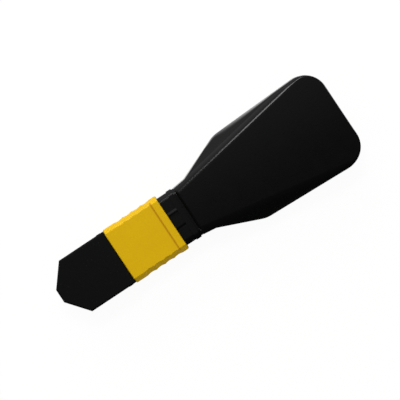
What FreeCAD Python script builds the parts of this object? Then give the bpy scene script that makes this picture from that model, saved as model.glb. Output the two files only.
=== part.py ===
import FreeCAD, Part

# Fibre loopback plug of the MPO family, in millimetres.
#
# The plug lies flat on the underside of its shell. +X runs along the connector's axis
# to the mating end, +Z is up, and the origin is under the middle of the whole plug.
# Inside this file each piece is drawn about the connector's own axis, with x = 0 at the
# front face of the outer housing. move_to_frame() then puts it in the plug's frame.

import math
import operator
import os

import Sketcher

Vector = FreeCAD.Vector
AXES = {"x": Vector(1, 0, 0), "y": Vector(0, 1, 0), "z": Vector(0, 0, 1)}
TOLERANCE = 1e-3

# name, size in mm, what it is
SIZES = [
    # dust cap
    ("cap_length", 14.0, "cap from its mouth to its tip"),
    ("cap_width", 11.95, "width of the cap"),
    ("cap_height", 7.6, "height of the cap"),
    ("cap_nose_length", 3.65, "length of the nose's side slants"),
    ("cap_tip_width", 2.9, "width of the flat tip"),
    ("cap_edge_radius", 0.35, "rounding of the cap's edges above and below"),
    ("cap_wall", 1.4, "wall of the cap's empty nose"),
    ("cap_hollow_width", 7.85, "width of the cap's empty nose"),
    ("cap_hollow_setback", 0.7, "how far its slants stay behind the nose's slants"),
    ("cap_gap", 0.05, "gap between the cap's mouth and the outer housing"),
    ("cap_rib_height", 0.1, "how far the side ribs stand out"),
    ("cap_rib_length", 0.8, "length of a side rib"),
    ("cap_rib_from_mouth", 0.8, "side rib's distance from the mouth"),
    # outer housing, the coloured sleeve that is pulled back to unlatch
    ("grip_length", 12.35, "length of the outer housing"),
    ("grip_width", 12.4, "width of the outer housing"),
    ("grip_height", 7.9, "height of the outer housing at its rear rim"),
    ("grip_slope_width", 1.05, "width of the slope along each long edge"),
    ("grip_slope_height", 1.9, "height of that slope"),
    ("grip_edge_radius", 0.25, "rounding of its long edges"),
    ("grip_rim_length", 1.5, "length of the raised rear rim"),
    ("grip_rim_step", 0.2, "how far the rim stands over the faces before it"),
    ("grip_travel", 2.0, "how far the outer housing is pulled back"),
    ("grip_step", 4.2, "depth of the narrow bore from the front face"),
    ("grip_bore_wall", 0.6, "side wall of the wide rear bore"),
    ("grip_bore_roof", 0.55, "top and bottom wall of the wide rear bore"),
    ("scoop_first", 3.67, "first finger scoop from the front face"),
    ("scoop_pitch", 2.08, "distance between finger scoops"),
    ("scoop_radius", 3.2, "radius of a finger scoop"),
    ("scoop_depth", 0.16, "depth of a finger scoop"),
    # inner housing
    ("inner_width", 9.2, "width of the inner housing"),
    ("inner_height", 6.0, "height of the inner housing"),
    ("inner_nose", 5.0, "how far it stands out of the outer housing"),
    ("inner_rear", 10.4, "its rear end behind the front face"),
    ("inner_edge_radius", 0.3, "rounding of its long edges"),
    ("inner_bevel", 0.2, "bevel round its front end"),
    ("inner_recess", 1.5, "depth of the recess round the ferrule"),
    ("inner_recess_margin", 0.7, "side wall left beside that recess"),
    ("inner_recess_roof", 1.05, "top and bottom wall left beside that recess"),
    ("key_width", 3.0, "width of the polarity key"),
    ("key_height", 0.4, "height of the polarity key"),
    ("key_length", 3.7, "length of the polarity key"),
    ("key_start", 0.3, "rear end of the key before the outer housing"),
    ("stop_width", 4.0, "width of the lugs that stop the outer housing"),
    ("stop_start", 2.65, "front of those lugs behind the front face"),
    ("stop_length", 0.95, "length of those lugs"),
    ("stop_height", 0.25, "how far the lugs stand out"),
    ("slide_gap", 0.1, "gap round each sliding piece"),
    ("face_gap", 0.05, "gap between faces that meet"),
    ("window_front", 7.5, "front of the latch windows behind the front face"),
    ("window_length", 1.3, "length of a latch window"),
    # ferrule and what rides behind it
    ("ferrule_width", 6.4, "width of the ferrule"),
    ("ferrule_height", 2.5, "height of the ferrule"),
    ("ferrule_length", 8.0, "length of the ferrule"),
    ("ferrule_nose", 1.2, "how far it stands out of the inner housing"),
    ("shoulder_width", 7.0, "width of the ferrule's shoulder"),
    ("shoulder_height", 3.0, "height of the ferrule's shoulder"),
    ("shoulder_length", 2.0, "length of the ferrule's shoulder"),
    ("ferrule_travel", 1.0, "how far the ferrule floats back"),
    ("pin_hole", 0.7, "diameter of the guide pin holes"),
    ("pin_pitch", 4.6, "distance between the guide pin holes"),
    ("fibre_hole", 0.127, "diameter of the fibre holes"),
    ("fibre_hole_length", 3.0, "length of the fibre holes"),
    ("pocket_height", 0.4, "height of the fibre pocket in the ferrule"),
    ("pocket_width", 3.3, "width of the fibre pocket and its window"),
    ("window_size", 2.5, "length of the filling window on the ferrule"),
    ("window_floor", 0.2, "height of the window's floor over the axis"),
    ("boot_width", 3.4, "width of the fibre boot"),
    ("boot_height", 1.5, "height of the fibre boot"),
    ("boot_seat", 2.2, "how deep the boot goes into the ferrule"),
    ("boot_tail", 3.0, "how far the boot stands out behind the ferrule"),
    ("keeper_length", 2.5, "thickness of the pin keeper"),
    ("spring_width", 6.9, "width of the oval ferrule spring"),
    ("spring_height", 3.6, "height of the oval ferrule spring"),
    ("spring_wire", 0.5, "wire of the ferrule spring"),
    ("chamber_height", 4.0, "height of the spring's chamber"),
    # coupling springs
    ("coil_diameter", 1.3, "outer diameter of a coupling spring"),
    ("coil_wire", 0.2, "wire of a coupling spring"),
    ("coil_pitch", 0.75, "pitch of a coupling spring"),
    ("channel_depth", 0.5, "depth of the springs' channels"),
    ("channel_height", 1.6, "height of the springs' channels"),
    # fibres
    ("fibre_pitch", 0.25, "distance between fibres in the ribbon"),
    ("fibre_coat", 0.24, "diameter over a fibre's coating"),
    ("fibre_bare", 0.125, "diameter of the bare fibre"),
    ("strip_length", 1.0, "bare end before the fibre holes"),
    ("loop_radius", 8.0, "radius of the largest fibre loop"),
    ("loop_step", 0.35, "distance between fibre loops"),
    ("loop_flare", 8.0, "radius of the bend that opens a loop"),
    ("ribbon_height", 0.32, "thickness of the ribbon"),
    ("ribbon_margin", 0.2, "ribbon's edge outside its outer fibres' centres"),
    ("ribbon_free", 3.0, "ribbon's end behind the rear body"),
    # rear body: the neck between the outer housing and the shell
    ("neck_start", 10.5, "front of the neck behind the front face"),
    ("neck_width", 11.0, "width of the neck"),
    ("neck_height", 6.2, "height of the neck"),
    ("neck_exposed", 3.35, "visible neck, flange included"),
    ("neck_edge_radius", 1.2, "rounding of the long edges of the neck and its flange"),
    ("rail_width", 3.8, "width of the rail on the neck, at its foot"),
    ("rail_top_width", 3.0, "width of the rail's flat top"),
    ("rail_height", 0.2, "height of the rail on the neck"),
    ("rail_slot_offset", 0.95, "distance of the slot's middle line in the upper rail from the axis"),
    ("rail_slot_width", 0.8, "width of that slot"),
    ("rail_slot_depth", 0.65, "depth of that slot"),
    ("flange_clearance", 0.25, "gap to the flange when the outer housing is pulled back"),
    ("flange_width", 11.3, "width of the flange"),
    ("flange_height", 6.8, "height of the flange"),
    ("waist_length", 0.55, "groove between the flange and the shell"),
    ("waist_width", 10.9, "width in that groove"),
    ("waist_height", 6.3, "height in that groove"),
    ("tail_width", 7.8, "width of the tail inside the shell"),
    ("tail_height", 5.0, "height of the tail inside the shell"),
    ("tail_length", 3.8, "length of the tail inside the shell"),
    ("tail_rib_width", 9.2, "width of the rib that the shell holds"),
    ("tail_rib_height", 5.9, "height of the rib that the shell holds"),
    ("tail_rib_length", 1.2, "length of that rib"),
    ("passage_width", 5.6, "width of the fibre passage"),
    ("passage_height", 2.4, "height of the fibre passage"),
    ("spring_seat", 0.5, "depth of the ferrule spring's seat"),
    ("leg_width", 3.2, "width of a latch leg"),
    ("leg_thickness", 0.5, "thickness of a latch leg"),
    ("leg_length", 2.9, "length of a latch leg"),
    ("barb_height", 0.35, "height of the barb on a leg"),
    ("barb_length", 1.0, "length of the barb on a leg"),
    # shell, two halves that meet in the plane of the axis
    ("shell_length", 36.35, "length of the shell"),
    ("shell_height", 8.4, "height of the shell"),
    ("shell_front_width", 11.07, "width of its front end"),
    ("wing_start", 2.8, "where the wings start behind its front end"),
    ("wing_width", 11.75, "width where the wings start"),
    ("wing_knee", 12.3, "where the wings turn behind its front end"),
    ("knee_width", 19.6, "width where the wings turn"),
    ("shell_rear_width", 21.5, "width of its rear end, corners left square"),
    ("shell_corner_radius", 4.9, "rounding of the rear corners"),
    ("knee_radius", 5.6, "rounding of the knees"),
    ("wing_radius", 2.0, "hollow rounding where the wings start"),
    ("plateau_front_width", 9.4, "width of the flat top at the front end"),
    ("plateau_rear_width", 22.3, "width that the flat top runs to at the rear end"),
    ("wing_rim", 0.8, "half height of the wings' edge at the knees"),
    ("shell_edge_radius", 1.0, "rounding of the flat top's edges"),
    ("shell_seam", 0.1, "bevel along the seam of the halves"),
    ("shell_wall", 1.2, "wall over and under the cavity"),
    ("shell_side_wall", 1.3, "side and rear wall of the cavity"),
    ("shell_front_wall", 1.65, "front wall"),
    ("cross_wall", 1.0, "wall behind the tail's rib"),
    ("boss_radius", 1.1, "snap boss"),
    ("hub_radius", 2.2, "boss inside the fibre loops"),
    ("snap_radius", 0.6, "snap pin"),
    ("snap_length", 1.4, "length of a snap pin"),
    ("boss_front", 8.2, "front snap bosses behind the shell's front end"),
    ("boss_front_side", 4.7, "front snap bosses from the middle"),
    ("boss_rear", 4.2, "rear snap bosses before the shell's rear end"),
    ("boss_rear_side", 7.7, "rear snap bosses from the middle"),
]
FIBRES = 12
SCOOPS = 4
SPRING_TURNS = 6

doc = FreeCAD.newDocument("loopback_plug")
sheet = doc.addObject("Spreadsheet::Sheet", "Sizes")


class Size:
    """A number together with the sheet formula that gives it."""

    def __init__(self, text, value):
        self.text = text
        self.value = value

    @staticmethod
    def of(number):
        return number if isinstance(number, Size) else Size(f"({float(number)!r})", float(number))

    def joined(self, sign, other):
        work = {"+": operator.add, "-": operator.sub, "*": operator.mul, "/": operator.truediv}
        left, right = Size.of(self), Size.of(other)
        return Size(f"({left.text} {sign} {right.text})", work[sign](left.value, right.value))

    def __add__(self, other):
        return self.joined("+", other)

    def __sub__(self, other):
        return self.joined("-", other)

    def __mul__(self, other):
        return self.joined("*", other)

    def __truediv__(self, other):
        return self.joined("/", other)

    def __radd__(self, other):
        return Size.of(other).joined("+", self)

    def __rsub__(self, other):
        return Size.of(other).joined("-", self)

    def __rmul__(self, other):
        return Size.of(other).joined("*", self)

    def __neg__(self):
        return Size.of(-1).joined("*", self)

    def root(self):
        return Size(f"sqrt({self.text})", math.sqrt(self.value))


class Named:
    """The sheet's sizes, each as an attribute."""


def fill_sheet():
    """Write the driving sizes into the sheet and return them by name."""
    named = Named()
    for row, (name, value, note) in enumerate(SIZES, 1):
        sheet.set(f"A{row}", name)
        sheet.set(f"B{row}", str(value))
        sheet.set(f"C{row}", note)
        sheet.setAlias(f"B{row}", name)
    doc.recompute()
    for name, _, _ in SIZES:
        setattr(named, name, Size(f"Sizes.{name}", float(sheet.get(name))))
    return named


s = fill_sheet()

# Stations along the axis, from the outer housing's front face
NECK_END = -(s.grip_length + s.neck_exposed)
FLANGE_START = -(s.grip_length + s.grip_travel + s.flange_clearance)
SHELL_FRONT = NECK_END - s.waist_length
SHELL_REAR = SHELL_FRONT - s.shell_length
FERRULE_FRONT = s.inner_nose + s.ferrule_nose
FERRULE_REAR = FERRULE_FRONT - s.ferrule_length
SHOULDER_FRONT = FERRULE_REAR + s.shoulder_length
KEEPER_FRONT = FERRULE_REAR - s.face_gap
KEEPER_REAR = KEEPER_FRONT - s.keeper_length
CHAMBER_START = KEEPER_REAR + s.face_gap
SEAT_FACE = -(s.neck_start + s.spring_seat)
STOP_REAR = -(s.stop_start + s.stop_length)
COUPLING_FRONT = -(s.grip_step + s.face_gap)
TAIL_END = SHELL_FRONT - s.tail_length
RIB_FRONT = SHELL_FRONT - s.shell_front_wall - s.slide_gap
RIB_REAR = RIB_FRONT - s.tail_rib_length
CROSS_FRONT = RIB_REAR - s.slide_gap
CAVITY_FRONT = CROSS_FRONT - s.cross_wall
CAVITY_REAR = SHELL_REAR + s.shell_side_wall
LOOP_CENTRE = CAVITY_REAR + s.ferrule_travel + s.loop_radius + s.fibre_coat / 2 + s.slide_gap

# Places across the axis
GRIP_BORE_SIDE = s.grip_width / 2 - s.grip_bore_wall
GRIP_BORE_TOP = s.grip_height / 2 - s.grip_bore_roof
CHAMBER_SIDE = s.shoulder_width / 2 + s.slide_gap
COUPLING_SIDE = GRIP_BORE_SIDE - s.slide_gap - s.coil_diameter / 2
COUPLING_REAR = -(s.neck_start - s.face_gap)
LEG_INSIDE = s.chamber_height / 2 + s.slide_gap
SHELL_TOP = s.shell_height / 2
CEILING = SHELL_TOP - s.shell_wall

pieces = []


def bind(thing, path, size):
    thing.setExpression(path, Size.of(size).text)


def both(half):
    """The span from minus half to plus half."""
    return -half, half


class Piece:
    """One sub-part: a PartDesign body, built up feature by feature."""

    def __init__(self, label, kept=True):
        self.body = doc.addObject("PartDesign::Body", label)
        self.body.Label = label
        if kept:
            pieces.append(self.body)

    def feature(self, kind, name):
        return self.body.newObject(kind, f"{self.body.Label}_{name}")

    def block(self, name, x, y, z, cut=False):
        """A box that adds to the body or, with cut, takes away from it."""
        kind = "SubtractiveBox" if cut else "AdditiveBox"
        made = self.feature(f"PartDesign::{kind}", name)
        for side, axis, (low, high) in (("Length", "x", x), ("Width", "y", y), ("Height", "z", z)):
            low = Size.of(low)
            bind(made, side, high - low)
            bind(made, f"Placement.Base.{axis}", low)
        return made

    def rod(self, name, diameter, start, direction, length, cut=False):
        """A cylinder from a starting point, along one of the axes or another direction."""
        kind = "SubtractiveCylinder" if cut else "AdditiveCylinder"
        made = self.feature(f"PartDesign::{kind}", name)
        bind(made, "Radius", diameter / 2)
        bind(made, "Height", length)
        made.Placement.Rotation = FreeCAD.Rotation(AXES["z"], direction)
        for axis, place in zip("xyz", start):
            bind(made, f"Placement.Base.{axis}", place)
        return made

    def sketch(self, name, plane, points, offset=0):
        """A closed outline on one of the body's own planes, each corner bound to the sheet."""
        made = self.feature("Sketcher::SketchObject", name)
        origin = self.body.Origin.OriginFeatures
        support = next(item for item in origin if item.Role == plane)
        made.AttachmentSupport = [(support, "")]
        made.MapMode = "FlatFace"
        bind(made, "AttachmentOffset.Base.z", offset)
        corners = [[Size.of(place) for place in point] for point in points]
        spots = [Vector(across.value, up.value, 0) for across, up in corners]
        for spot, following in zip(spots, spots[1:] + spots[:1]):
            made.addGeometry(Part.LineSegment(spot, following), False)
        for line in range(len(spots)):
            joint = Sketcher.Constraint("Coincident", line, 2, (line + 1) % len(spots), 1)
            made.addConstraint(joint)
        for line, corner in enumerate(corners):
            for direction, place in zip(("DistanceX", "DistanceY"), corner):
                rule = Sketcher.Constraint(direction, -1, 1, line, 1, place.value)
                number = made.addConstraint(rule)
                bind(made, f"Constraints[{number}]", place)
        return made

    def pad(self, name, sketch, length, symmetric=False, backwards=False):
        made = self.feature("PartDesign::Pad", name)
        made.Profile = sketch
        made.SideType = "Symmetric" if symmetric else "One side"
        made.Reversed = backwards
        bind(made, "Length", length)
        return made

    def cut_between(self, name, first, last):
        """Take away the straight-sided solid between two outlines."""
        made = self.feature("PartDesign::SubtractiveLoft", name)
        made.Profile = first
        made.Sections = [last]
        made.Ruled = True
        return made

    def combine(self, other, cut=False):
        """Join another body to this one or, with cut, take it away."""
        made = self.feature("PartDesign::Boolean", "with_" + other.body.Label)
        made.Type = "Cut" if cut else "Fuse"
        made.Group = [other.body]

    def rounded_block(self, name, x, y, z, radius, cut=False):
        """A box whose edges along the connector's axis are rounded."""
        tool = Piece(f"{self.body.Label}_{name}", kept=False)
        tool.block("form", x, y, z)
        tool.round("long_edges", radius, lambda box: runs_along(box, "x"))
        self.combine(tool, cut)

    def edges(self, wanted):
        """The tip feature and the names of its edges that pass a test of their boxes."""
        doc.recompute()
        tip = self.body.Tip
        names = [f"Edge{number}" for number, edge in enumerate(tip.Shape.Edges, 1)
                 if wanted(edge.BoundBox)]
        if not names:
            raise RuntimeError(f"{self.body.Label}: no edge to dress")
        return tip, names

    def round(self, name, radius, wanted):
        tip, names = self.edges(wanted)
        made = self.feature("PartDesign::Fillet", name)
        made.Base = (tip, names)
        bind(made, "Radius", radius)

    def bevel(self, name, size, wanted):
        tip, names = self.edges(wanted)
        made = self.feature("PartDesign::Chamfer", name)
        made.Base = (tip, names)
        bind(made, "Size", size)


def near(value, wanted):
    return abs(value - Size.of(wanted).value) < TOLERANCE


def runs_along(box, axis):
    """Whether an edge's box is a straight line along one axis."""
    lengths = {"x": box.XLength, "y": box.YLength, "z": box.ZLength}
    return all((lengths[name] > TOLERANCE) == (name == axis) for name in lengths)


def lies_at(box, axis, place):
    """Whether an edge lies whole in the plane at a place along an axis."""
    low, high = {"x": (box.XMin, box.XMax), "y": (box.YMin, box.YMax), "z": (box.ZMin, box.ZMax)}[axis]
    return near(low, place) and near(high, place)


def above_and_below(box, height):
    return lies_at(box, "z", height) or lies_at(box, "z", -height)


def make_dust_cap():
    cap = Piece("dust_cap")
    side, tip = s.cap_width / 2, s.cap_tip_width / 2
    top = s.cap_height / 2
    nose = s.cap_length - s.cap_nose_length
    plan = [(s.cap_gap, side), (nose, side), (s.cap_length, tip)]
    plan += [(x, -y) for x, y in reversed(plan)]
    cap.pad("form", cap.sketch("plan", "XY_Plane", plan), s.cap_height, symmetric=True)
    cap.round("edges", s.cap_edge_radius,
              lambda box: above_and_below(box, top) and not lies_at(box, "x", s.cap_gap))
    rib = s.cap_rib_from_mouth + s.cap_gap
    cap.block("ribs", (rib, rib + s.cap_rib_length), both(side + s.cap_rib_height), both(top / 2))
    # the mouth slides over the inner housing and its key
    mouth = (s.cap_gap - 1, s.inner_nose + s.slide_gap)
    cap.block("mouth", mouth, both(s.inner_width / 2 + s.slide_gap),
              both(s.inner_height / 2 + s.slide_gap), cut=True)
    key_top = s.inner_height / 2 + s.key_height + s.slide_gap / 2
    cap.block("keyway", mouth, both(s.key_width / 2 + s.slide_gap), (0, key_top), cut=True)
    # the empty nose keeps clear of the ferrule and follows the slants
    inside = s.cap_hollow_width / 2
    hollow = [(0, inside), (nose - s.cap_hollow_setback, inside),
              (s.cap_length - s.cap_wall, tip - s.cap_hollow_setback / 2)]
    hollow += [(x, -y) for x, y in reversed(hollow)]
    nose_space = Piece("nose_space", kept=False)
    outline = nose_space.sketch("plan", "XY_Plane", hollow)
    nose_space.pad("form", outline, s.cap_height - 2 * s.cap_wall, symmetric=True)
    cap.combine(nose_space, cut=True)


def make_outer_housing():
    grip = Piece("outer_housing")
    side, top = s.grip_width / 2, s.grip_height / 2
    flat, knee = side - s.grip_slope_width, top - s.grip_slope_height
    quarter = [(side, knee), (flat, top)]
    section = quarter + [(-y, z) for y, z in reversed(quarter)]
    section += [(-y, -z) for y, z in section]
    outline = grip.sketch("section", "YZ_Plane", section, -s.grip_length)
    grip.pad("form", outline, s.grip_length)
    before_rim = (-(s.grip_length - s.grip_rim_length), 1)
    for name, low in (("upper", top - s.grip_rim_step), ("lower", -(top + 1))):
        grip.block(f"{name}_face", before_rim, both(side + 1), (low, low + 1 + s.grip_rim_step), cut=True)
    grip.round("long_edges", s.grip_edge_radius, lambda box: runs_along(box, "x"))
    grip.round("end_edges", s.grip_edge_radius,
               lambda box: lies_at(box, "x", 0) or lies_at(box, "x", -s.grip_length))
    cut_scoops(grip, side, top, knee)
    grip.block("front_bore", (-(s.grip_step + 1), 1), both(s.inner_width / 2 + s.slide_gap),
               both(s.inner_height / 2 + s.slide_gap), cut=True)
    # the stop lugs run in this pocket while the outer housing is pulled back
    grip.block("stop_pocket", (STOP_REAR - s.face_gap, s.grip_travel + s.slide_gap - s.stop_start),
               both(s.stop_width / 2 + s.slide_gap),
               both(s.inner_height / 2 + s.stop_height + s.slide_gap), cut=True)
    grip.rounded_block("rear_bore", (-(s.grip_length + 1), -s.grip_step), both(GRIP_BORE_SIDE),
                       both(GRIP_BORE_TOP), s.neck_edge_radius + s.slide_gap, cut=True)


def cut_scoops(grip, side, top, knee):
    """Shallow finger scoops down both sides, and over the slopes above and below them."""
    reach = s.scoop_radius - s.scoop_depth
    slant = (s.grip_slope_width * s.grip_slope_width + s.grip_slope_height * s.grip_slope_height).root()
    out, rise = s.grip_slope_height / slant, s.grip_slope_width / slant
    across = side + reach * out + top * rise
    height = knee + reach * rise - top * out
    for number in range(SCOOPS):
        x = -(s.scoop_first + number * s.scoop_pitch)
        for left in (1, -1):
            grip.rod("side_scoop", 2 * s.scoop_radius, (x, left * (side + reach), -top), AXES["z"], 2 * top,
                     cut=True)
            for up in (1, -1):
                lean = Vector(0, -left * rise.value, up * out.value)
                grip.rod("slope_scoop", 2 * s.scoop_radius, (x, left * across, up * height), lean, 2 * top,
                         cut=True)


def make_inner_housing():
    inner = Piece("inner_housing")
    side, top = s.inner_width / 2, s.inner_height / 2
    inner.block("form", (-s.inner_rear, s.inner_nose), both(side), both(top))
    inner.round("long_edges", s.inner_edge_radius, lambda box: runs_along(box, "x"))
    inner.bevel("front_edges", s.inner_bevel, lambda box: lies_at(box, "x", s.inner_nose))
    inner.block("key", (s.key_start, s.key_start + s.key_length), both(s.key_width / 2),
                (0, top + s.key_height))
    inner.block("stops", (STOP_REAR, STOP_REAR + s.stop_length), both(s.stop_width / 2),
                both(top + s.stop_height))
    recess = s.inner_nose - s.inner_recess
    inner.block("recess", (recess, s.inner_nose + 1), both(side - s.inner_recess_margin),
                both(top - s.inner_recess_roof), cut=True)
    inner.block("ferrule_way", (SHOULDER_FRONT, s.inner_nose), both(s.ferrule_width / 2 + s.slide_gap),
                both(s.ferrule_height / 2 + s.slide_gap), cut=True)
    inner.block("shoulder_way", (CHAMBER_START, SHOULDER_FRONT + s.face_gap), both(CHAMBER_SIDE),
                both(s.shoulder_height / 2 + s.slide_gap), cut=True)
    rear = -(s.inner_rear + 1)
    inner.block("spring_way", (rear, CHAMBER_START), both(CHAMBER_SIDE), both(s.chamber_height / 2),
                cut=True)
    leg_top = LEG_INSIDE + s.leg_thickness + s.slide_gap
    leg_front = -(s.neck_start - s.leg_length) + s.slide_gap
    leg_side = both(s.leg_width / 2 + s.slide_gap)
    inner.block("leg_ways", (rear, leg_front), leg_side, both(leg_top), cut=True)
    inner.block("latch_windows", (-(s.window_front + s.window_length), -s.window_front), leg_side,
                both(top + 1), cut=True)
    for name, low in (("left", side - s.channel_depth), ("right", -(side + 1))):
        inner.block(f"{name}_channel", (rear, COUPLING_FRONT), (low, low + 1 + s.channel_depth),
                    both(s.channel_height / 2), cut=True)


def make_ferrule():
    ferrule = Piece("mt_ferrule")
    side, top = s.ferrule_width / 2, s.ferrule_height / 2
    ferrule.block("form", (FERRULE_REAR, FERRULE_FRONT), both(side), both(top))
    ferrule.bevel("front_edges", s.face_gap, lambda box: lies_at(box, "x", FERRULE_FRONT))
    ferrule.block("shoulder", (FERRULE_REAR, SHOULDER_FRONT), both(s.shoulder_width / 2),
                  both(s.shoulder_height / 2))
    pocket_end = FERRULE_FRONT - s.fibre_hole_length
    boot_end = FERRULE_REAR + s.boot_seat + s.face_gap
    ferrule.block("fibre_pocket", (FERRULE_REAR, pocket_end), both(s.pocket_width / 2),
                  both(s.pocket_height / 2), cut=True)
    ferrule.block("boot_socket", (FERRULE_REAR - 1, boot_end), both(s.boot_width / 2 + s.slide_gap),
                  both(s.boot_height / 2 + s.face_gap), cut=True)
    ferrule.block("window", (pocket_end - s.window_size, pocket_end), both(s.pocket_width / 2),
                  (0, top + 1), cut=True)
    for name, left in (("left", 1), ("right", -1)):
        ferrule.rod(f"{name}_pin_hole", s.pin_hole, (FERRULE_REAR - 1, left * s.pin_pitch / 2, 0),
                    AXES["x"], s.ferrule_length + 2, cut=True)
    for fibre in range(FIBRES):
        across = (fibre - (FIBRES - 1) / 2) * s.fibre_pitch
        ferrule.rod(f"fibre_hole_{fibre}", s.fibre_hole, (pocket_end - 1, across, 0), AXES["x"],
                    s.fibre_hole_length + 2, cut=True)


def make_epoxy_fill():
    """The cured resin that fills the ferrule's window, above the fibres."""
    pocket_end = FERRULE_FRONT - s.fibre_hole_length
    fill = Piece("epoxy_fill")
    fill.block("form", (pocket_end - s.window_size + s.face_gap, pocket_end - s.face_gap),
               both(s.pocket_width / 2 - s.face_gap), (s.window_floor, s.ferrule_height / 2 - s.face_gap))


def make_ferrule_boot():
    boot = Piece("ferrule_boot")
    span = (FERRULE_REAR - s.boot_tail, FERRULE_REAR + s.boot_seat)
    boot.block("form", span, both(s.boot_width / 2), both(s.boot_height / 2))
    boot.round("long_edges", s.boot_height / 3, lambda box: runs_along(box, "x"))
    ribbon_side = (FIBRES - 1) / 2 * s.fibre_pitch + s.ribbon_margin
    boot.block("ribbon_way", (span[0] - 1, span[1] + 1), both(ribbon_side + s.face_gap / 2),
               both(s.ribbon_height / 2 + s.face_gap / 2), cut=True)


def make_pin_keeper():
    """The spacer that stands behind the ferrule of a plug without guide pins."""
    keeper = Piece("pin_keeper")
    keeper.block("form", (KEEPER_REAR, KEEPER_FRONT), both(s.shoulder_width / 2),
                 both(s.shoulder_height / 2))
    through = (KEEPER_REAR - 1, KEEPER_FRONT + 1)
    keeper.round("long_edges", s.inner_edge_radius, lambda box: runs_along(box, "x"))
    keeper.block("boot_way", through, both(s.boot_width / 2 + s.slide_gap),
                 both(s.boot_height / 2 + s.slide_gap), cut=True)


def make_coupling_spring(label, left):
    """A small coil that pushes the outer housing forwards."""
    spring = Piece(label)
    mean = (s.coil_diameter - s.coil_wire) / 2
    wire = spring.feature("Sketcher::SketchObject", "wire")
    origin = spring.body.Origin.OriginFeatures
    wire.AttachmentSupport = [(next(item for item in origin if item.Role == "XZ_Plane"), "")]
    wire.MapMode = "FlatFace"
    start = COUPLING_REAR + s.coil_wire / 2
    centre = Vector(start.value, mean.value, 0)
    wire.addGeometry(Part.Circle(centre, AXES["z"], s.coil_wire.value / 2), False)
    rules = [("DistanceX", (-1, 1, 0, 3), start), ("DistanceY", (-1, 1, 0, 3), mean),
             ("Diameter", (0,), s.coil_wire)]
    for kind, where, size in rules:
        number = wire.addConstraint(Sketcher.Constraint(kind, *where, size.value))
        bind(wire, f"Constraints[{number}]", size)
    coil = spring.feature("PartDesign::AdditiveHelix", "coil")
    coil.Profile = wire
    coil.ReferenceAxis = (wire, ["H_Axis"])
    coil.Mode = "pitch-height-angle"
    bind(coil, "Pitch", s.coil_pitch)
    bind(coil, "Height", COUPLING_FRONT - COUPLING_REAR - s.coil_wire - s.face_gap)
    bind(spring.body, "Placement.Base.y", left * COUPLING_SIDE)


def kept_shape(label, shape):
    """A sub-part whose shape is worked out here from the sheet's sizes."""
    made = doc.addObject("Part::Feature", label)
    made.Label = label
    made.Shape = shape
    pieces.append(made)
    return made


def make_ferrule_spring():
    """The oval coil behind the pin keeper: straight runs joined by half-round turns."""
    wire = s.spring_wire.value
    front = KEEPER_REAR.value - s.face_gap.value - wire / 2
    rear = SEAT_FACE.value + s.face_gap.value + wire / 2
    side = (s.spring_width.value - s.spring_height.value) / 2
    top = (s.spring_height.value - wire) / 2
    step = (front - rear) / (2 * SPRING_TURNS)
    edges = []
    for half_turn in range(2 * SPRING_TURNS):
        x, up = rear + step * half_turn, (-1) ** half_turn
        begin, bend = Vector(x, up * side, up * top), Vector(x, -up * side, up * top)
        end = Vector(x + step, -up * side, -up * top)
        middle = (bend + end) / 2 - Vector(0, up * (end - bend).Length / 2, 0)
        edges += [Part.LineSegment(begin, bend), Part.Arc(bend, middle, end)]
    path = Part.Wire([edge.toShape() for edge in edges])
    section = Part.Wire([Part.Circle(Vector(rear, side, top), AXES["y"], wire / 2).toShape()])
    kept_shape("ferrule_spring", path.makePipeShell([section], True, True))


def loop_path(across, radius):
    """One fibre's way through the shell: out, open, round the hub's far side and back."""
    start = FERRULE_FRONT.value - s.fibre_hole_length.value - s.strip_length.value
    flare, centre = s.loop_flare.value, LOOP_CENTRE.value
    reach = radius + flare
    bend = centre + math.sqrt(reach ** 2 - (across + flare) ** 2)
    share = radius / reach
    meet = Vector(centre + (bend - centre) * share, (across + flare) * share, 0)
    # the flare's middle point lies half way round between its two ends
    begin = Vector(bend, across, 0)
    flare_centre = Vector(bend, across + flare, 0)
    half_way = (begin - flare_centre) + (meet - flare_centre)
    flare_middle = flare_centre + half_way.normalize() * flare
    mirrored = [Vector(spot.x, -spot.y, 0) for spot in (begin, flare_middle, meet)]
    edges = [
        Part.LineSegment(Vector(start, across, 0), begin),
        Part.Arc(begin, flare_middle, meet),
        Part.Arc(meet, Vector(centre - radius, 0, 0), mirrored[2]),
        Part.Arc(mirrored[2], mirrored[1], mirrored[0]),
        Part.LineSegment(mirrored[0], Vector(start, -across, 0)),
    ]
    return start, Part.Wire([edge.toShape() for edge in edges])


def make_fibre_loops():
    """Each fibre leaves one hole of the ferrule and comes back to the hole opposite."""
    coat, bare = s.fibre_coat.value / 2, s.fibre_bare.value / 2
    for number in range(FIBRES // 2):
        across = ((FIBRES - 1) / 2 - number) * s.fibre_pitch.value
        radius = s.loop_radius.value - number * s.loop_step.value
        start, path = loop_path(across, radius)
        section = Part.Wire([Part.Circle(Vector(start, across, 0), AXES["x"], coat).toShape()])
        coated = path.makePipeShell([section], True, True)
        ends = []
        for side in (across, -across):
            reach = FERRULE_FRONT.value - start
            ends.append(Part.makeCylinder(bare, reach, Vector(start, side, 0), AXES["x"]))
        print(f"fibre loop {number + 1}: radii {s.loop_flare.value} and {radius}, "
              f"volume {coated.Volume:.4f}, section x length "
              f"{math.pi * coat ** 2 * path.Length:.4f}")
        kept_shape(f"fibre_loop_{number + 1}", coated.fuse(ends))


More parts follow.
